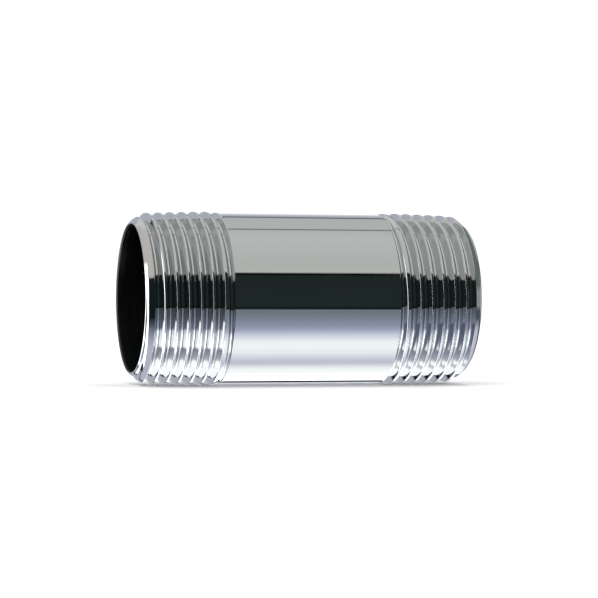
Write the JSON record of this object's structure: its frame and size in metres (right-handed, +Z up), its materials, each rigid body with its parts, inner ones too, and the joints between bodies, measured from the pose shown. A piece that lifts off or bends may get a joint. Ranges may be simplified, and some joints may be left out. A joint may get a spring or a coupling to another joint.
{
  "type": "threaded pipe nipple",
  "caption": "Straight chrome-plated pipe nipple: smooth tube with an open bore and an outside taper thread on each end.",
  "frame": {"origin": "middle of the nipple, on its axis", "axes": "X along the nipple's axis, end to end; +Z up as it lies on its side; -Y towards the viewer"},
  "size_m": [0.066, 0.0334, 0.0334],
  "materials": {
    "chrome_plated_brass": "polished chrome plating over brass"
  },
  "bodies": {
    "root": {"nipple_body": "chrome_plated_brass"}
  },
  "joints": []
}
